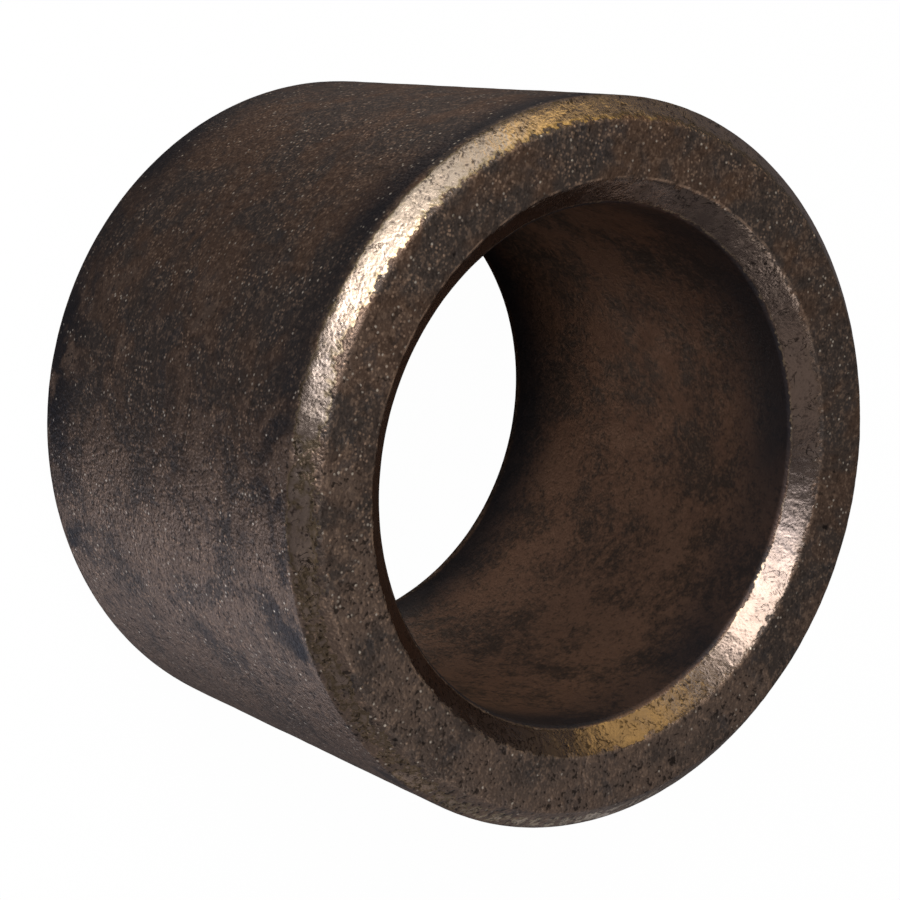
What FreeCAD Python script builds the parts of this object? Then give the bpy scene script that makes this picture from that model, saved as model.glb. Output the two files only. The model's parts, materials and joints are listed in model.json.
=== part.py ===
import FreeCAD, Part
import math
import os
import Sketcher

# A plain sleeve bushing of sintered bronze, pressed in one piece: a ring with a 45-degree chamfer
# at both ends of its bore and at both ends of its outside.
# Frame: millimetres, +Z along the bore, origin on the axis in the plane of the lower end face.

PARTS_FOLDER = "parts"
SLEEVE = "bushing_sleeve"

# Driving dimensions in millimetres, by the name of their cell. The nominal sizes are those of a
# bushing for a 5/8 inch shaft and a 7/8 inch housing, 5/8 inch long.
SIZES = [
    ("shaft_diameter", 15.875),      # the shaft that runs in the bore
    ("running_allowance", 0.050),    # how much larger the bore is than the shaft
    ("housing_diameter", 22.225),    # the hole that the sleeve is pressed into
    ("press_allowance", 0.076),      # how much larger the sleeve is than that hole
    ("sleeve_length", 15.875),       # end face to end face
    ("outer_chamfer", 0.69),         # both legs of the chamfer round the outside
    ("inner_chamfer", 0.81),         # both legs of the chamfer at each mouth of the bore
]

BORE_RADIUS = "(Sizes.shaft_diameter + Sizes.running_allowance) / 2"
OUTSIDE_RADIUS = "(Sizes.housing_diameter + Sizes.press_allowance) / 2"

RADIUS_TOLERANCE = 1e-6              # millimetres
VOLUME_TOLERANCE = 1e-6              # as a share of the volume


def fill_sheet(doc):
    """Write the driving dimensions into a sheet, one row each, with an alias on each number."""
    sheet = doc.addObject("Spreadsheet::Sheet", "Sizes")
    for row, (name, value) in enumerate(SIZES, start=1):
        sheet.set(f"A{row}", name)
        sheet.set(f"B{row}", str(value))
        sheet.setAlias(f"B{row}", name)
    doc.recompute()
    return sheet


def origin_plane(body, role):
    """Find one of the body's own origin planes."""
    return next(feature for feature in body.Origin.OriginFeatures if feature.Role == role)


def add_circle(sketch, name, radius_formula):
    """Draw a circle about the sketch's origin, with its radius bound to a formula."""
    centre_point = 3
    sketch_axes = -1
    origin_point = 1
    start_radius = 10.0
    shape = Part.Circle(FreeCAD.Vector(0, 0, 0), FreeCAD.Vector(0, 0, 1), start_radius)
    circle = sketch.addGeometry(shape, False)
    centred = Sketcher.Constraint("Coincident", circle, centre_point, sketch_axes, origin_point)
    sketch.addConstraint(centred)
    radius = sketch.addConstraint(Sketcher.Constraint("Radius", circle, start_radius))
    sketch.renameConstraint(radius, name)
    sketch.setExpression(f"Constraints.{name}", radius_formula)


def draw_ring(body):
    """Sketch the sleeve's section across its axis, in the plane of the lower end face."""
    sketch = body.newObject("Sketcher::SketchObject", "ring_section")
    sketch.AttachmentSupport = [(origin_plane(body, "XY_Plane"), "")]
    sketch.MapMode = "FlatFace"
    add_circle(sketch, "outside", OUTSIDE_RADIUS)
    add_circle(sketch, "bore", BORE_RADIUS)
    return sketch


def raise_sleeve(body, section):
    """Pad the section upwards to the sleeve's full length."""
    pad = body.newObject("PartDesign::Pad", "sleeve_blank")
    pad.Profile = section
    pad.Type = "Length"
    pad.setExpression("Length", "Sizes.sleeve_length")
    section.Visibility = False
    return pad


def round_edges(shape, radius):
    """Name the circular edges of one radius, which are the rims of one cylinder."""
    names = []
    for number, edge in enumerate(shape.Edges, start=1):
        is_circle = isinstance(edge.Curve, Part.Circle)
        if is_circle and abs(edge.Curve.Radius - radius) < RADIUS_TOLERANCE:
            names.append(f"Edge{number}")
    return names


def chamfer_rims(body, base, name, radius, size_formula):
    """Cut a 45-degree chamfer on both rims of the cylinder that has this radius."""
    rims = round_edges(base.Shape, radius)
    if len(rims) != 2:
        raise RuntimeError(f"{name}: expected 2 rims, found {len(rims)}")
    chamfer = body.newObject("PartDesign::Chamfer", name)
    chamfer.Base = (base, rims)
    chamfer.ChamferType = "Equal distance"
    chamfer.setExpression("Size", size_formula)
    return chamfer


def make_sleeve(doc, sheet):
    """Build the sleeve: a ring, then the chamfers outside and in the bore."""
    body = doc.addObject("PartDesign::Body", SLEEVE)
    body.Label = SLEEVE
    blank = raise_sleeve(body, draw_ring(body))
    doc.recompute()
    outside = chamfer_rims(body, blank, "outer_chamfers", outside_radius(sheet), "Sizes.outer_chamfer")
    doc.recompute()
    inside = chamfer_rims(body, outside, "bore_chamfers", bore_radius(sheet), "Sizes.inner_chamfer")
    body.Tip = inside
    body.Placement = FreeCAD.Placement()
    doc.recompute()
    return body


def outside_radius(sheet):
    """The sleeve's outside radius as made, before it is pressed in."""
    return (sheet.housing_diameter + sheet.press_allowance) / 2


def bore_radius(sheet):
    """The bore's radius as made, with room for the oil film round the shaft."""
    return (sheet.shaft_diameter + sheet.running_allowance) / 2


def chamfer_volume(radius, leg, side):
    """Volume of one triangular ring: its section times the path of its centroid.

    side is -1 where the triangle's right angle is the ring's outermost point, and +1 where it is
    the innermost.
    """
    section = leg * leg / 2
    centroid_radius = radius + side * leg / 3
    return section * 2 * math.pi * centroid_radius


def expected_volume(sheet):
    """The sleeve's volume worked out by hand, to compare with the solid's."""
    outside = outside_radius(sheet)
    bore = bore_radius(sheet)
    ring = math.pi * (outside ** 2 - bore ** 2) * sheet.sleeve_length
    outer_cut = 2 * chamfer_volume(outside, sheet.outer_chamfer, -1)
    inner_cut = 2 * chamfer_volume(bore, sheet.inner_chamfer, +1)
    return ring - outer_cut - inner_cut


def check_document(doc):
    """Stop if any object of the document failed to compute."""
    for item in doc.Objects:
        if "Invalid" in item.State or "Error" in item.State:
            raise RuntimeError(f"{item.Label}: state {item.State}")


def check_sleeve(body, sheet):
    """Stop unless the sleeve is one valid solid of the right volume."""
    shape = body.Shape
    if shape.isNull() or not shape.isValid():
        raise RuntimeError(f"{body.Label}: no valid shape")
    if len(shape.Solids) != 1:
        raise RuntimeError(f"{body.Label}: {len(shape.Solids)} solids")
    wanted = expected_volume(sheet)
    if abs(shape.Volume - wanted) > VOLUME_TOLERANCE * wanted:
        raise RuntimeError(f"{body.Label}: volume {shape.Volume:.3f}, expected {wanted:.3f}")


def main():
    doc = FreeCAD.newDocument("bronze_sleeve_bushing")
    sheet = fill_sheet(doc)
    sleeve = make_sleeve(doc, sheet)
    check_document(doc)
    check_sleeve(sleeve, sheet)
    os.makedirs(PARTS_FOLDER, exist_ok=True)
    sleeve.Shape.exportStep(os.path.join(PARTS_FOLDER, f"{sleeve.Label}.step"))
    box = sleeve.Shape.BoundBox
    print(f"{sleeve.Label}: {box.XLength:.3f} x {box.YLength:.3f} x {box.ZLength:.3f} mm, "
          f"{sleeve.Shape.Volume:.1f} cubic mm")


main()
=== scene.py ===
import json
import math
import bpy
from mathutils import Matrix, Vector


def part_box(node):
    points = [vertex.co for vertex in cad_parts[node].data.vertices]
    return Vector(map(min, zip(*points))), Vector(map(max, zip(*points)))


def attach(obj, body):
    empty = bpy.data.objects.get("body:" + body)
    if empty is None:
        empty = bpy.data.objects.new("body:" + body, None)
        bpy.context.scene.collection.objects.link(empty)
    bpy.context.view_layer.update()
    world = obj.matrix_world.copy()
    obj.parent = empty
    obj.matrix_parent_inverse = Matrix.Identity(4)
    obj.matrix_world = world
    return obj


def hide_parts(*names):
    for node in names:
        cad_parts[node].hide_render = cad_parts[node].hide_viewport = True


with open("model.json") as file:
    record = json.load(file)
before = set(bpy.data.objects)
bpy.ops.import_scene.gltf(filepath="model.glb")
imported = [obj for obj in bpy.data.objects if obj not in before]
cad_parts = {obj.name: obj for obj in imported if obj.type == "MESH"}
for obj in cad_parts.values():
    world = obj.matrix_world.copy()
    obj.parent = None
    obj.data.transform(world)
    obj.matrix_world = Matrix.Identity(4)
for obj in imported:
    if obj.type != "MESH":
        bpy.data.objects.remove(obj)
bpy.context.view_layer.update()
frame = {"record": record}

from types import SimpleNamespace

import bpy
from mathutils import Matrix, Vector, noise

# ---------------------------------------------------------------- sizes, in metres, all from the frame

MM = 0.001
NODE = "bushing_sleeve"
mounts = {mount["name"]: mount["dims"] for mount in frame["record"]["mounts"]}
low_corner, high_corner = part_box(NODE)

BOTTOM = low_corner[2]
TOP = high_corner[2]
LENGTH = TOP - BOTTOM
OUTER_RADIUS = mounts["housing_outside"]["r_mm"] * MM
BORE_RADIUS = mounts["shaft_bore"]["r_mm"] * MM
OUTER_CHAMFER = (LENGTH - mounts["housing_outside"]["length_mm"] * MM) / 2
INNER_CHAMFER = (LENGTH - mounts["shaft_bore"]["length_mm"] * MM) / 2
FACE_OUTER = OUTER_RADIUS - OUTER_CHAMFER
FACE_INNER = BORE_RADIUS + INNER_CHAMFER

# ---------------------------------------------------------------- the sleeve's section

EDGE_ROUND = 0.16 * MM           # radius of the worn edges
ROUND_STEPS = 3                  # steps across each worn edge
FINE_COUNT = 896                 # points round the sleeve on its ends, halved twice for its walls
ROW_GAP = {                      # spacing of the rows of points along each surface
    "outside": 0.31 * MM,
    "bore": 0.31 * MM,
    "face": 0.14 * MM,
    "outer_chamfer": 0.12 * MM,
    "inner_chamfer": 0.12 * MM,
}
WALLS = ("outside", "bore")
CHAMFERS = ("outer_chamfer", "inner_chamfer")

# Corners of the section, as radius and height, each with the surface that runs on from it.
CORNERS = [
    (OUTER_RADIUS, BOTTOM + OUTER_CHAMFER, "outside"),
    (OUTER_RADIUS, TOP - OUTER_CHAMFER, "outer_chamfer"),
    (FACE_OUTER, TOP, "face"),
    (FACE_INNER, TOP, "inner_chamfer"),
    (BORE_RADIUS, TOP - INNER_CHAMFER, "bore"),
    (BORE_RADIUS, BOTTOM + INNER_CHAMFER, "inner_chamfer"),
    (FACE_INNER, BOTTOM, "face"),
    (FACE_OUTER, BOTTOM, "outer_chamfer"),
]


class Row:
    """One ring of points: its place in the section, the way its surface faces, and how many points it has.

    On a worn edge, crest is 1 away from the ends of its rounding, and so is the painted rim highlight where
    the edge is the one between an end face and a bore's chamfer.
    """

    def __init__(self, place, facing, surface, count, on_edge=False, crest=0.0, rim_highlight=0.0):
        self.place = place
        self.facing = facing
        self.surface = surface
        self.count = count
        self.on_edge = on_edge
        self.crest = crest
        self.rim_highlight = rim_highlight


def outward(direction):
    """The way a surface faces, when the section is walked anticlockwise."""
    return Vector((direction.y, -direction.x))


def edge_rows(corner, before, after, left, surface):
    """Rows across the rounded edge between two surfaces, from the end of one to the start of the next."""
    turn = before.angle(after)
    rim_highlight = float({left, surface} == {"face", "inner_chamfer"})
    setback = EDGE_ROUND * math.tan(turn / 2)
    centre = corner - before * setback - outward(before) * EDGE_ROUND
    rows = []
    for step in range(ROUND_STEPS + 1):
        facing = outward(before).slerp(outward(after), step / ROUND_STEPS)
        crest = float(0 < step < ROUND_STEPS)
        rows.append(Row(centre + facing * EDGE_ROUND, facing, surface, FINE_COUNT, True, crest, rim_highlight * crest))
    return rows


def surface_rows(start, end, surface):
    """Rows along one flat surface, between its rounded edges, coarser round the two long walls."""
    path = end - start
    facing = outward(path.normalized())
    steps = round(path.length / ROW_GAP[surface])
    rows = []
    for step in range(1, steps):
        count = FINE_COUNT
        if surface in WALLS:
            count = FINE_COUNT // 2 if step in (1, steps - 1) else FINE_COUNT // 4
        rows.append(Row(start + path * step / steps, facing, surface, count))
    return rows


def section_rows():
    """All the rows, once round the section, starting at the foot of the outside wall."""
    corners = [Vector((radius, height)) for radius, height, surface in CORNERS]
    surfaces = [surface for radius, height, surface in CORNERS]
    total = len(corners)
    ways = [(corners[(i + 1) % total] - corners[i]).normalized() for i in range(total)]
    edges = [edge_rows(corners[i], ways[i - 1], ways[i], surfaces[i - 1], surfaces[i]) for i in range(total)]
    rows = []
    for i in range(total):
        rows += edges[i]
        rows += surface_rows(edges[i][-1].place, edges[(i + 1) % total][0].place, surfaces[i])
    return rows


# ---------------------------------------------------------------- the sleeve's worn, porous skin

WEATHERED_LIT_SIDE = Vector((1.0, 0.0, 0.0))         # the side of the sleeve that is more open, and that is painted paler as light from below
KEY_LIT_SIDE = Vector((-0.643, -0.766, 0.0))     # the side the key light falls on, with bright grains and a copper rim painted there as sparkle and highlight

# Layers of noise, each as its strength and its features per millimetre.
SWELL = ((0.008, 0.45), (0.006, 1.3), (0.005, 2.9))     # all over, in millimetres of height
GRAIN_RELIEF = ((0.009, 3.7), (0.005, 6.9))    # the same, on the end faces and chamfers only
PORE_HOLLOW = (1.0, 3.4)
PORE_RAGGED = (0.45, 7.3)
PORE_CROWD = (0.22, 0.22)                      # brings the pores closer together in some parts
NICKS = (1.0, 1.9)

PORE_OFFSET = Vector((11, 5, 2))               # keep the pores and nicks apart from the other layers
NICK_OFFSET = Vector((7, 3, 5))
PORE_WEATHER = 0.10                            # how many more pores the weathered side has
PORE_START = 0.54                              # how strong the hollows have to be to make a pore
PORE_STEEPNESS = 3.5
PORE_DEPTH = 0.030                             # in millimetres
NICK_START = 0.2                               # how strong the nicks' noise has to be to make one
NICK_DEPTH = 0.007                             # in millimetres
CHAMFER_RELIEF = 0.6                           # a chamfer's relief and pores, against a face's
CHAMFER_PORES = 0.4
EDGE_RELIEF = 0.4                              # an edge's relief, against the surfaces beside it
EDGE_LOSS = 0.006                              # what every edge has lost, in millimetres

FACE_SIDE_FADE = 0.26 * MM       # how far the rubbing fades on either side of a chamfer's edge at a face
WALL_SIDE_FADE = 0.13 * MM       # and at a wall
CORNER_SHADE_REACH = {                  # how far the painted shade, a dark band beside a chamfer, reaches along each wall
    "outside": 2.6 * MM,
    "bore": 3.2 * MM,
}
EDGE_WEAR = {                    # how rubbed each edge is, by its radius
    OUTER_RADIUS: 0.5,
    FACE_OUTER: 0.25,
    FACE_INNER: 0.35,
    BORE_RADIUS: 0.0,
}


def clamp(value):
    """A value, kept between 0 and 1."""
    return min(1.0, max(0.0, value))


def layers(point, *kinds):
    """Layers of smooth noise at a point in millimetres, added together."""
    return sum(strength * noise.noise(point * scale) for strength, scale in kinds)


def pore(point):
    """Depth from 0 to 1 of the scattered, uneven pores that the powder left."""
    crowd = layers(point, PORE_CROWD) + PORE_WEATHER * point.dot(WEATHERED_LIT_SIDE) / (OUTER_RADIUS / MM)
    hollow = layers(point + PORE_OFFSET, PORE_HOLLOW) + layers(point, PORE_RAGGED)
    return clamp((hollow + crowd - PORE_START) * PORE_STEEPNESS)


def skin(point, row):
    """How far the skin stands proud of the plain shape in millimetres, and how much of it is pore."""
    height = layers(point, *SWELL)
    depth = 0.0
    if row.surface not in WALLS:
        relief = layers(point, *GRAIN_RELIEF)
        depth = pore(point)
        if row.surface in CHAMFERS:
            relief *= CHAMFER_RELIEF
            depth *= CHAMFER_PORES
        height += relief - PORE_DEPTH * depth
    if row.on_edge:
        nick = max(0.0, layers(point + NICK_OFFSET, NICKS) - NICK_START)
        height = EDGE_RELIEF * height - EDGE_LOSS - NICK_DEPTH * nick
    return height, depth


def chamfer_ends():
    """Every corner, the way in along its chamfer, how far the rubbing fades there, and how rubbed it is."""
    ends = []
    for i, (radius, height, surface) in enumerate(CORNERS):
        partner = CORNERS[(i + 1) % len(CORNERS)] if surface in CHAMFERS else CORNERS[i - 1]
        corner = Vector((radius, height))
        way = (Vector(partner[:2]) - corner).normalized()
        fade = FACE_SIDE_FADE if height in (TOP, BOTTOM) else WALL_SIDE_FADE
        ends.append((corner, way, fade, EDGE_WEAR[radius]))
    return ends


def wear(row, ends):
    """How rubbed a row is: fully in the middle of a chamfer, fading out across its edges."""
    corner, way, fade, at_edge = min(ends, key=lambda end: (row.place - end[0]).length)
    return clamp(at_edge + (row.place - corner).dot(way) / (2 * fade))


def corner_shade_amount(row, ends):
    """How much of the painted shade, a dark band on the walls beside the chamfers, a row carries."""
    if row.surface not in WALLS:
        return 0.0
    nearest = min((row.place - end[0]).length for end in ends)
    return max(0.0, 1.0 - nearest / CORNER_SHADE_REACH[row.surface])


# ---------------------------------------------------------------- the sleeve's mesh

def make_points(rows):
    """Every point of the mesh, row by row, and the depth of the pore that it lies in."""
    points = []
    depths = []
    up = Vector((0, 0, 1))
    for row in rows:
        for i in range(row.count):
            turn = 2 * math.pi * i / row.count
            across = Vector((math.cos(turn), math.sin(turn), 0))
            place = across * row.place.x + up * row.place.y
            facing = across * row.facing.x + up * row.facing.y
            height, depth = skin(place / MM, row)
            points.append(place + facing * height * MM)
            depths.append(depth)
    return points, depths


def bridge(lower, upper, lower_start, upper_start):
    """Faces between two rows of points, where one may hold twice as many as the other."""
    total = min(lower.count, upper.count)
    lower_step = lower.count // total
    upper_step = upper.count // total
    for i in range(total):
        bottom = [i * lower_step + k for k in range(lower_step + 1)]
        top = [i * upper_step + k for k in range(upper_step, -1, -1)]
        face = [lower_start + k % lower.count for k in bottom] + [upper_start + k % upper.count for k in top]
        turns = [k / lower.count for k in bottom] + [k / upper.count for k in top]
        ends = [0] * len(bottom) + [1] * len(top)
        yield face, turns, ends


def make_faces(rows):
    """Every face of the mesh, and its map: the turn across, and the way walked round the section upwards."""
    starts = [0]
    walked = [0.0]
    for row, following in zip(rows, rows[1:] + rows[:1]):
        starts.append(starts[-1] + row.count)
        walked.append(walked[-1] + (following.place - row.place).length)
    faces = []
    unrolled = []
    for j, row in enumerate(rows):
        following = (j + 1) % len(rows)
        for face, turns, ends in bridge(row, rows[following], starts[j], starts[following]):
            faces.append(face)
            for turn, end in zip(turns, ends):
                unrolled += [turn, walked[j + end] / walked[-1]]
    return faces, unrolled


def for_points(rows, value):
    """A value that is worked out for each row, repeated for every point of the row."""
    return [number for row in rows for number in [value(row)] * row.count]


def make_sleeve():
    """The whole sleeve as one closed mesh, with its map and what the material needs to know of each point."""
    rows = section_rows()
    points, depths = make_points(rows)
    faces, unrolled = make_faces(rows)
    mesh = bpy.data.meshes.new("sleeve")
    mesh.from_pydata(points, [], faces)
    mesh.uv_layers.new(name="OFBake").data.foreach_set("uv", unrolled)
    ends = chamfer_ends()
    attributes = {
        "pore": depths,
        "worn": for_points(rows, lambda row: wear(row, ends)),
        "inner": for_points(rows, lambda row: float(row.surface == "inner_chamfer")),
        "inside": for_points(rows, lambda row: float(row.surface == "bore")),
        "crest": for_points(rows, lambda row: row.crest),
        # painted highlight along the rim between end face and bore chamfer
        "rim_highlight": for_points(rows, lambda row: row.rim_highlight),
        # painted shade: how near each point of a wall lies to a chamfer
        "corner_shade": for_points(rows, lambda row: corner_shade_amount(row, ends)),
    }
    for name, values in attributes.items():
        mesh.attributes.new(name, "FLOAT", "POINT").data.foreach_set("value", values)
    mesh.shade_smooth()
    sleeve = bpy.data.objects.new("sintered_sleeve", mesh)
    bpy.context.collection.objects.link(sleeve)
    return sleeve


# ---------------------------------------------------------------- materials

class Graph:
    """The nodes of one material, with a short call for each kind that is used."""

    def __init__(self, name):
        self.material = bpy.data.materials.new(name)
        self.material.use_nodes = True
        self.tree = self.material.node_tree
        self.tree.nodes.clear()

    def fill(self, socket, value):
        """Link another node's output into a socket, or set the socket to a plain value."""
        if isinstance(value, bpy.types.NodeSocket):
            self.tree.links.new(value, socket)
        else:
            socket.default_value = value

    def node(self, kind, inputs, **settings):
        """One node, with its settings and with its inputs linked or filled in."""
        made = self.tree.nodes.new(kind)
        for name, value in settings.items():
            setattr(made, name, value)
        for name, value in inputs.items():
            self.fill(made.inputs[name], value)
        return made

    def attribute(self, name):
        """A number that the mesh holds for every point."""
        return self.node("ShaderNodeAttribute", {}, attribute_name=name).outputs["Fac"]

    def noise(self, place, kind):
        """Noise of one of the kinds in NOISES, from 0 to 1."""
        scale, detail, rough, warp = NOISES[kind]
        inputs = {"Vector": place, "Scale": scale, "Detail": detail, "Roughness": rough, "Distortion": warp}
        return self.node("ShaderNodeTexNoise", inputs).outputs["Fac"]

    def math(self, operation, *values):
        """One of the math node's operations."""
        return self.node("ShaderNodeMath", dict(enumerate(values)), operation=operation).outputs["Value"]

    def product(self, first, *others):
        """Several values multiplied together."""
        for other in others:
            first = self.math("MULTIPLY", first, other)
        return first

    def ramp(self, value, name):
        """Map a value by one of the ramps in RAMPS, with soft ends."""
        low, high, out_low, out_high = RAMPS[name]
        inputs = {"Value": value, "From Min": low, "From Max": high, "To Min": out_low, "To Max": out_high}
        return self.node("ShaderNodeMapRange", inputs, interpolation_type="SMOOTHSTEP").outputs["Result"]

    def mix(self, factor, first, second):
        """The first colour where the factor is 0, the second where it is 1."""
        made = self.tree.nodes.new("ShaderNodeMix")
        made.data_type = "RGBA"
        colour_sockets = [socket for socket in made.inputs if socket.type == "RGBA"]
        self.fill(made.inputs["Factor"], factor)
        self.fill(colour_sockets[0], first)
        self.fill(colour_sockets[1], second)
        return next(socket for socket in made.outputs if socket.type == "RGBA")


def colour(red, green, blue):
    return (red, green, blue, 1.0)


PATINA_BROWN = colour(0.215, 0.131, 0.088)
PATINA_GREY = colour(0.140, 0.108, 0.090)
PATINA_BLUE = colour(0.095, 0.090, 0.093)
# painted light: the patina is painted paler on the side lit from below
PATINA_PALE_LIT = colour(0.300, 0.215, 0.165)
OILED = colour(0.080, 0.052, 0.040)
OILED_RUST = colour(0.238, 0.124, 0.078)
COPPER = colour(0.72, 0.48, 0.33)
GLINT = colour(0.97, 0.84, 0.68)
GILT = colour(0.46, 0.34, 0.20)
RUBBED = colour(0.80, 0.61, 0.47)
TARNISH = colour(0.27, 0.20, 0.165)
PORE_DARK = colour(0.016, 0.013, 0.012)
# painted shade: the dark band on the walls beside the chamfers
PAINTED_CORNER_SHADE = colour(0.040, 0.038, 0.044)

# The kinds of noise: features per millimetre, octaves of detail, roughness, distortion.
NOISES = {
    "patches": (0.40, 3.0, 0.6, 0.5),
    "smudges": (1.3, 2.0, 0.6, 0.0),
    "swarm": (0.9, 3.0, 0.7, 0.0),
    # breaks up the painted shade beside the chamfers
    "shade_break": (0.16, 1.0, 0.5, 0.0),
    "grain": (5.0, 1.5, 0.5, 0.0),
    "dust": (12.0, 0.5, 0.5, 0.0),
    "rag": (3.2, 2.0, 0.7, 0.0),
    "vein": (1.6, 3.0, 0.65, 1.2),
}
NOISE_MIDDLE = 0.5
GRAINS_PER_MM = 8.6              # of the single grains of powder
GRAIN_SHARE = 0.60               # how much of the fine relief is grain, and the rest is dust
CROWD_GLINT = 0.07               # how much likelier a grain is to glint where bare grains crowd
SOAKED_SMUDGES = 0.5             # how far the smudges break up the oil's patches in the bore
SOAKED_HEAP = 0.9                # and how far the fine relief does
WEATHER_KEEPS = 0.5              # how much less the outer chamfers are rubbed on the weathered side
INNER_PITTED = 0.4               # how pitted the bore's chamfers are, against the weathered side
INNER_TARNISH = 0.88             # how tarnished the bore's chamfers are
FLAW_DARK = 0.75                 # how dark the fissures and pits in the metal are
CREST_ROUGH = 0.15               # how much rougher the crest of a worn edge is
SPECULAR = 0.3                   # the patina's own shine, under its metallic part

# Ramps with soft ends: the two values that each runs between, and what it gives at either one.
RAMPS = {
    # the sides of the sleeve, and single grains of powder
    "patch_weather": (0.3, 0.7, -0.65, 0.65),      # the weathered side's border follows the patches
    "weathered": (-0.1, 0.9, 0.0, 1.0),
    "grainy": (-0.4, 0.6, 0.0, 1.0),
    "bead": (0.52, 0.14, 0.0, 1.0),                # full in the middle of a grain
    "crowd": (0.41, 0.57, 0.0, 1.0),
    "bare_lot": (0.30, 0.95, 0.0, 1.0),            # every grain draws a lot for how bare it is
    # painted sparkle: bare grains are commonest on the key-lit side
    "bare_grainy": (0.0, 1.0, 0.3, 1.0),
    "bare_outside": (0.0, 1.0, 0.15, 1.0),
    "glint": (0.97, 1.02, 0.0, 1.0),
    # patina, with its oil and pores, and the painted shade beside the chamfers
    "patch_brown": (0.42, 0.60, 0.0, 1.0),
    # painted light: paler patina on the side lit from below
    "weathered_pale": (0.0, 1.0, 0.0, 0.75),
    "smudge_blue": (0.54, 0.72, 0.0, 0.45),
    "heap_copper": (0.50, 0.68, 0.0, 0.34),
    "oil": (0.98, 1.36, 0.0, 1.0),
    "oil_inside": (0.0, 1.0, 0.0, 0.8),
    "prick": (0.44, 0.35, 0.0, 1.0),
    "prick_weathered": (0.0, 1.0, 0.35, 0.75),
    "prick_outside": (0.0, 1.0, 0.4, 1.0),
    # painted shade beside the chamfers
    "corner_shade_fade": (0.0, 0.85, 0.0, 1.0),
    "shade_break_fade": (0.38, 0.52, 0.5, 0.9),
    "shade_lit_side": (0.0, 0.7, 1.0, 0.0),            # the painted shade is left off the side that light from below falls on
    # rubbed metal
    "rag": (0.3, 0.7, -0.25, 0.25),                # how ragged its border is
    "metal": (0.42, 0.60, 0.0, 1.0),
    "fissure": (0.024, 0.008, 0.0, 1.0),
    "fissure_smudge": (0.46, 0.56, 0.0, 1.0),
    "pitting": (0.44, 0.34, 0.0, 1.0),
    "pitting_strength": (0.0, 1.0, 0.1, 0.9),
    "heap_rubbed": (0.30, 0.48, 0.0, 1.0),
    "gilt": (0.9, 0.5, 0.0, 1.0),                  # metal that is hardly rubbed is darker and yellower
    # the whole surface
    "rim_highlight_copper": (0.42, 0.58, 0.0, 0.6),
    "pore_dark": (0.2, 0.9, 0.0, 0.85),
    "rough_metal": (0.0, 1.0, 0.46, 0.27),
    "rough_smudge": (0.3, 0.7, -0.05, 0.05),
    "reach_metal": (0.0, 1.0, 0.062 * MM, 0.013 * MM),
    "reach_outside": (0.0, 1.0, 0.4, 1.0),
    "metallic": (0.0, 1.0, 0.7, 1.0),
    "metallic_outside": (0.0, 1.0, 0.7, 1.0),
}


def toward(graph, coordinates, side):
    """How far a point lies towards one side of the sleeve, from -1 to 1 across its width."""
    inputs = {0: coordinates, 1: side / OUTER_RADIUS}
    return graph.node("ShaderNodeVectorMath", inputs, operation="DOT_PRODUCT").outputs["Value"]


def shared_fields(graph):
    """What the bronze's parts share: attributes of the mesh, noise, the weathered side, which is also painted
    paler as light from below, and the side the key light falls on.
    """
    coordinates = graph.node("ShaderNodeTexCoord", {}).outputs["Object"]
    in_mm = graph.node("ShaderNodeVectorMath", {0: coordinates, "Scale": 1 / MM}, operation="SCALE")
    fields = SimpleNamespace(place=in_mm.outputs["Vector"])
    fields.inner = graph.attribute("inner")
    fields.inside = graph.attribute("inside")
    fields.outside = graph.math("SUBTRACT", 1.0, fields.inside)
    fields.patches = graph.noise(fields.place, "patches")
    fields.smudges = graph.noise(fields.place, "smudges")
    fields.crowd = graph.ramp(graph.noise(fields.place, "swarm"), "crowd")
    grain = graph.product(graph.noise(fields.place, "grain"), GRAIN_SHARE)
    dust = graph.product(graph.noise(fields.place, "dust"), 1 - GRAIN_SHARE)
    fields.heap = graph.math("ADD", grain, dust)
    uneven = graph.ramp(fields.patches, "patch_weather")
    weather = graph.math("ADD", toward(graph, coordinates, WEATHERED_LIT_SIDE), uneven)
    fields.weathered = graph.ramp(weather, "weathered")
    fields.grainy = graph.ramp(toward(graph, coordinates, KEY_LIT_SIDE), "grainy")
    return fields


def powder(graph, fields):
    """Single grains: how bare each one is, with more bright grains painted on the key-lit side as painted
    sparkle, and which few of them glint.
    """
    grains = graph.node("ShaderNodeTexVoronoi", {"Vector": fields.place, "Scale": GRAINS_PER_MM})
    lots = graph.node("ShaderNodeSeparateColor", {"Color": grains.outputs["Color"]})
    bead = graph.ramp(grains.outputs["Distance"], "bead")
    bare_and_sparkle = graph.product(graph.ramp(lots.outputs["Red"], "bare_lot"), bead, fields.crowd)
    # painted sparkle: more bright bare grains towards the side the key light falls on
    bare_and_sparkle = graph.product(bare_and_sparkle, graph.ramp(fields.grainy, "bare_grainy"))
    bare_and_sparkle = graph.product(bare_and_sparkle, graph.ramp(fields.outside, "bare_outside"))
    glint = graph.math("ADD", lots.outputs["Green"], graph.product(fields.crowd, CROWD_GLINT))
    return bare_and_sparkle, graph.product(graph.ramp(glint, "glint"), bead, fields.outside)


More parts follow.
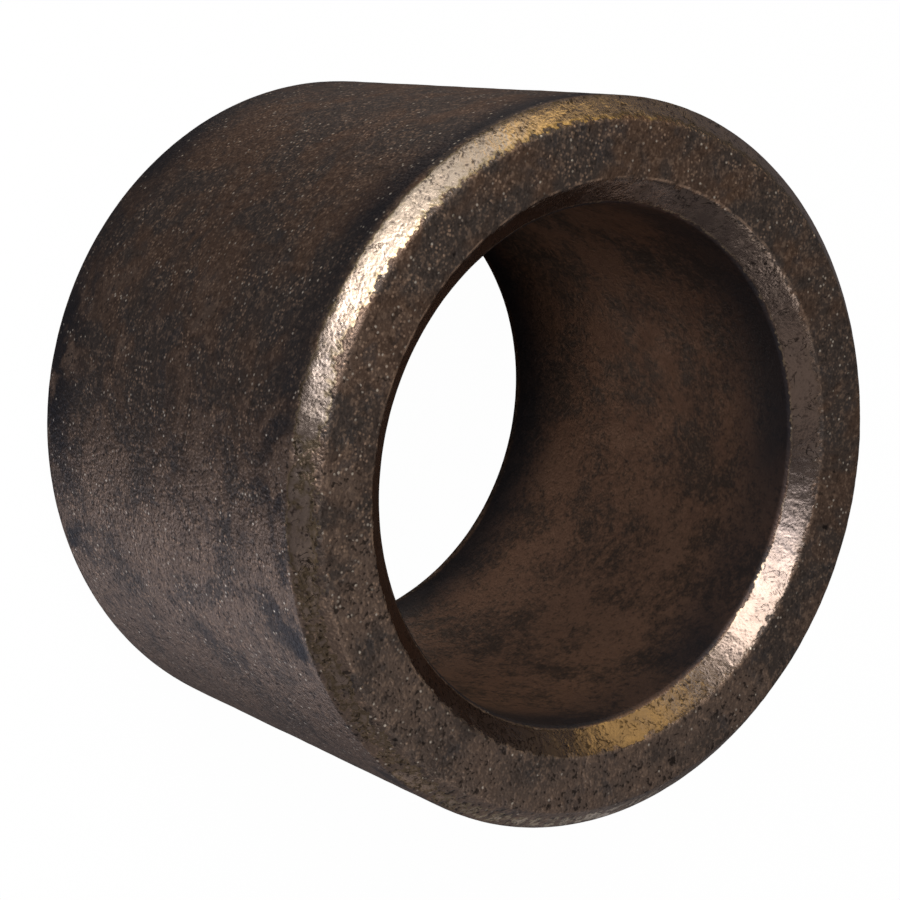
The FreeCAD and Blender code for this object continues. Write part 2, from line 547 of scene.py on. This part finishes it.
def patina(graph, fields):
    """Grey, brown and bluish patches of grains, painted paler on the side lit from below, oiled in the bore,
    and with painted shade beside the chamfers.
    """
    bare_and_sparkle, glint = powder(graph, fields)
    shade = graph.mix(graph.ramp(fields.patches, "patch_brown"), PATINA_GREY, PATINA_BROWN)
    # painted light: paler towards the side lit from below
    shade = graph.mix(graph.ramp(fields.weathered, "weathered_pale"), shade, PATINA_PALE_LIT)
    shade = graph.mix(graph.ramp(fields.smudges, "smudge_blue"), shade, PATINA_BLUE)
    shade = graph.mix(graph.ramp(fields.heap, "heap_copper"), shade, COPPER)
    # bright bare grains, partly the powder's own and partly painted sparkle on the key-lit side
    shade = graph.mix(bare_and_sparkle, shade, COPPER)
    broken = graph.product(fields.smudges, SOAKED_SMUDGES)
    broken = graph.math("ADD", broken, graph.product(fields.heap, SOAKED_HEAP))
    soaked = graph.math("ADD", fields.patches, broken)
    oil = graph.mix(graph.ramp(soaked, "oil"), OILED, OILED_RUST)
    shade = graph.mix(graph.ramp(fields.inside, "oil_inside"), shade, oil)
    prick = graph.product(graph.ramp(fields.heap, "prick"), graph.ramp(fields.weathered, "prick_weathered"))
    shade = graph.mix(graph.product(prick, graph.ramp(fields.outside, "prick_outside")), shade, PORE_DARK)
    # painted shade: a dark band on the walls beside the chamfers, broken up by noise and left off the side
    # lit from below
    shade_break = graph.ramp(graph.noise(fields.place, "shade_break"), "shade_break_fade")
    lit_weathered_side = graph.ramp(graph.product(fields.weathered, fields.outside), "shade_lit_side")
    painted_shade = graph.product(graph.ramp(graph.attribute("corner_shade"), "corner_shade_fade"), shade_break, lit_weathered_side)
    shade = graph.mix(painted_shade, shade, PAINTED_CORNER_SHADE)
    return graph.mix(glint, shade, GLINT)


def rubbed_metal(graph, fields):
    """How far the chamfers are rubbed through to metal, and its colour, with gilt edges and dark flaws."""
    rag = graph.ramp(graph.noise(fields.place, "rag"), "rag")
    kept = graph.product(fields.weathered, graph.math("SUBTRACT", 1.0, fields.inner), WEATHER_KEEPS)
    worn = graph.math("SUBTRACT", graph.math("ADD", graph.attribute("worn"), rag), kept)
    vein = graph.math("ABSOLUTE", graph.math("SUBTRACT", graph.noise(fields.place, "vein"), NOISE_MIDDLE))
    fissure = graph.product(graph.ramp(vein, "fissure"), graph.ramp(fields.smudges, "fissure_smudge"))
    pitted = graph.math("MAXIMUM", fields.weathered, graph.product(fields.inner, INNER_PITTED))
    pitting = graph.product(graph.ramp(fields.heap, "pitting"), graph.ramp(pitted, "pitting_strength"))
    bright = graph.mix(graph.ramp(fields.heap, "heap_rubbed"), TARNISH, RUBBED)
    bright = graph.mix(graph.ramp(worn, "gilt"), bright, GILT)
    bright = graph.mix(graph.product(fields.inner, INNER_TARNISH), bright, TARNISH)
    flaw = graph.product(graph.math("MAXIMUM", fissure, pitting), FLAW_DARK)
    bright = graph.mix(flaw, bright, PORE_DARK)
    return graph.ramp(worn, "metal"), bright


def bronze():
    """Oil-darkened sintered bronze: powder grains, open pores, and chamfers rubbed bright."""
    graph = Graph("sintered_bronze")
    fields = shared_fields(graph)
    metal, bright = rubbed_metal(graph, fields)
    shade = graph.mix(metal, patina(graph, fields), bright)
    # painted highlight: a copper line along the worn rim between end face and bore chamfer, painted only on
    # the key-lit side
    rim_highlight = graph.product(graph.attribute("rim_highlight"), fields.grainy, graph.ramp(fields.smudges, "rim_highlight_copper"))
    shade = graph.mix(rim_highlight, shade, COPPER)
    shade = graph.mix(graph.ramp(graph.attribute("pore"), "pore_dark"), shade, PORE_DARK)
    smeared = graph.ramp(fields.smudges, "rough_smudge")
    roughness = graph.math("ADD", graph.ramp(metal, "rough_metal"), smeared)
    roughness = graph.math("ADD", roughness, graph.product(graph.attribute("crest"), CREST_ROUGH))
    metallic = graph.product(graph.ramp(metal, "metallic"), graph.ramp(fields.outside, "metallic_outside"))
    reach = graph.product(graph.ramp(metal, "reach_metal"), graph.ramp(fields.outside, "reach_outside"))
    bump = graph.node("ShaderNodeBump", {"Strength": 1.0, "Distance": reach, "Height": fields.heap})
    surface = graph.node("ShaderNodeBsdfPrincipled", {
        "Base Color": shade,
        "Metallic": metallic,
        "Roughness": roughness,
        "Specular IOR Level": SPECULAR,
        "Normal": bump.outputs["Normal"],
    })
    graph.node("ShaderNodeOutputMaterial", {"Surface": surface.outputs["BSDF"]})
    return graph.material


def glowing(name, glow, reflectance):
    """A plain matt surface that may also shine by itself, which keeps the floor and dome evenly pale."""
    graph = Graph(name)
    matt = graph.node("ShaderNodeBsdfDiffuse", {"Color": colour(reflectance, reflectance, reflectance)})
    light = graph.node("ShaderNodeEmission", {"Color": colour(1, 1, 1), "Strength": glow})
    both = graph.node("ShaderNodeAddShader", {0: matt.outputs[0], 1: light.outputs[0]})
    graph.node("ShaderNodeOutputMaterial", {"Surface": both.outputs[0]})
    return graph.material


# ---------------------------------------------------------------- studio

LIGHT_DISTANCE = 0.15            # from the sleeve's middle to every soft box

# The camera, with lengths in outside radii. The sleeve stands on end and the camera is rolled, so that
# its bore points right and forwards.
CAMERA_ELEVATION = 48.09
CAMERA_DISTANCE = 6.043
CAMERA_TARGET = (0.0472, -0.5597, 0.0)
CAMERA_ROLL = 104.88
SENSOR_WIDTH = 36                # in millimetres
FOCAL_LENGTH = 89.93             # in millimetres
CLIP_END = 10                    # in metres, past the dome

# Soft boxes: azimuth, elevation, half width and half height in degrees, then radiance and tint.
SOFT_BOXES = {
    "key": (-40, 46, 14, 13, 4.5, (1.0, 1.0, 1.0)),
    "key_edge": (-15, 46, 10, 10, 2.5, (0.90, 0.97, 1.10)),
    "side": (-58, 26, 24, 10, 0.66, (0.93, 1.0, 1.0)),
    "gold": (-100, 26, 16, 12, 1.05, (1.0, 0.76, 0.30)),
    "under": (62, -38, 20, 14, 1.12, (0.94, 1.0, 1.16)),
    "under_left": (-92, -38, 14, 12, 0.33, (1.1, 0.95, 0.85)),
    "back": (110, 46, 10, 10, 2.0, (1.0, 1.0, 1.0)),
    "fill_above": (60, 50, 16, 16, 0.18, (1.05, 0.95, 0.88)),
    "fill_right": (95, -8, 16, 16, 0.14, (1.05, 0.95, 0.92)),
    "fill_behind": (135, -8, 16, 16, 0.24, (0.95, 1.0, 1.08)),
}

FLAG_DROP = 0.3 * MM             # how far below the bore the black card lies that keeps light out of it
GLOW_PLACE = (0.35, 0.25)        # the panel between that card and the bore, in bore radii
GLOW_SIZE = 0.6 * BORE_RADIUS
GLOW_RADIANCE = 1.1
GLOW_TINT = (1.0, 0.9, 0.8)

STAGE_RADIUS = 1.0               # of the floor and the dome
CARD_SIDES = 96
DOME_SEGMENTS = 64
DOME_RINGS = 32
FLOOR_GLOW = 0.985
FLOOR_REFLECTANCE = 0.03
DOME_GLOW = 0.992
FLAG_REFLECTANCE = 0.01
AIR_TINT = colour(1.0, 0.96, 1.06)
AIR_STRENGTH = 0.075


def aim(item, place, target, roll=0.0):
    """Put a camera or light at place, looking at target, turned by roll about its line of sight."""
    look = (target - place).to_track_quat("-Z", "Y").to_matrix().to_4x4()
    item.matrix_world = Matrix.Translation(place) @ look @ Matrix.Rotation(roll, 4, "Z")


def from_angles(azimuth, elevation):
    """The unit vector towards an azimuth (0 is -Y, growing towards +X) and an elevation, in degrees."""
    turn = math.radians(azimuth)
    rise = math.radians(elevation)
    return Vector((math.sin(turn) * math.cos(rise), -math.cos(turn) * math.cos(rise), math.sin(rise)))


def make_camera():
    """The camera, placed and aimed from the middle of the upper face."""
    top_centre = Vector((0, 0, TOP))
    place = top_centre + from_angles(0, CAMERA_ELEVATION) * CAMERA_DISTANCE * OUTER_RADIUS
    target = top_centre + Vector(CAMERA_TARGET) * OUTER_RADIUS
    data = bpy.data.cameras.new("camera")
    data.sensor_width = SENSOR_WIDTH
    data.lens = FOCAL_LENGTH
    data.clip_start = MM
    data.clip_end = CLIP_END
    camera = bpy.data.objects.new("camera", data)
    bpy.context.collection.objects.link(camera)
    aim(camera, place, target, math.radians(CAMERA_ROLL))
    bpy.context.scene.camera = camera


def panel(name, place, target, width, height, radiance, tint):
    """A rectangular area light of a given size and brightness, facing its target."""
    data = bpy.data.lights.new(name, "AREA")
    data.shape = "RECTANGLE"
    data.size = width
    data.size_y = height
    data.energy = radiance * math.pi * width * height
    data.color = tint
    light = bpy.data.objects.new(name, data)
    bpy.context.collection.objects.link(light)
    aim(light, place, target)
    return light


def soft_box(name, azimuth, elevation, half_width, half_height, radiance, tint):
    """An area light in a given direction, spanning the given angles as seen from the sleeve's middle."""
    width = 2 * LIGHT_DISTANCE * math.tan(math.radians(half_width))
    height = 2 * LIGHT_DISTANCE * math.tan(math.radians(half_height))
    middle = Vector((0, 0, (TOP + BOTTOM) / 2))
    place = middle + from_angles(azimuth, elevation) * LIGHT_DISTANCE
    panel(name, place, middle, width, height, radiance, tint)


def bore_glow():
    """The light that a bright floor sends up one side of the bore, from a small panel just under it."""
    across, along = GLOW_PLACE
    place = Vector((across * BORE_RADIUS, along * BORE_RADIUS, BOTTOM - FLAG_DROP / 2))
    target = place + Vector((0, 0, 1))
    light = panel("bore_glow", place, target, GLOW_SIZE, GLOW_SIZE, GLOW_RADIANCE, GLOW_TINT)
    light.visible_camera = False


def card(name, radius, height, material):
    """A level round card at a given height."""
    place = (0, 0, height)
    bpy.ops.mesh.primitive_circle_add(vertices=CARD_SIDES, radius=radius, fill_type="NGON", location=place)
    made = bpy.context.object
    made.name = name
    made.data.materials.append(material)
    return made


def only_seen(item):
    """Let the camera see a thing, but let it neither light nor shade the sleeve nor show in it."""
    item.visible_diffuse = False
    item.visible_glossy = False
    item.visible_shadow = False


def make_stage():
    """A pale floor under the sleeve, a pale dome round it, and the black card under its bore."""
    floor = card("floor", STAGE_RADIUS, BOTTOM, glowing("floor_white", FLOOR_GLOW, FLOOR_REFLECTANCE))
    only_seen(floor)
    bpy.ops.mesh.primitive_uv_sphere_add(segments=DOME_SEGMENTS, ring_count=DOME_RINGS, radius=STAGE_RADIUS)
    dome = bpy.context.object
    dome.name = "backdrop"
    dome.data.materials.append(glowing("backdrop_white", DOME_GLOW, 0.0))
    only_seen(dome)
    flag = card("flag", FACE_INNER, BOTTOM - FLAG_DROP, glowing("flag_black", 0.0, FLAG_REFLECTANCE))
    flag.visible_camera = False


def make_air():
    """A dim even light from all round."""
    world = bpy.data.worlds.new("studio")
    world.use_nodes = True
    background = world.node_tree.nodes["Background"]
    background.inputs["Color"].default_value = AIR_TINT
    background.inputs["Strength"].default_value = AIR_STRENGTH
    bpy.context.scene.world = world


# ---------------------------------------------------------------- the scene

sleeve = make_sleeve()
sleeve.data.materials.append(bronze())
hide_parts(NODE)
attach(sleeve, "root")

make_camera()
make_stage()
make_air()
for name, settings in SOFT_BOXES.items():
    soft_box(name, *settings)
bore_glow()
bpy.context.scene.view_settings.view_transform = "Standard"
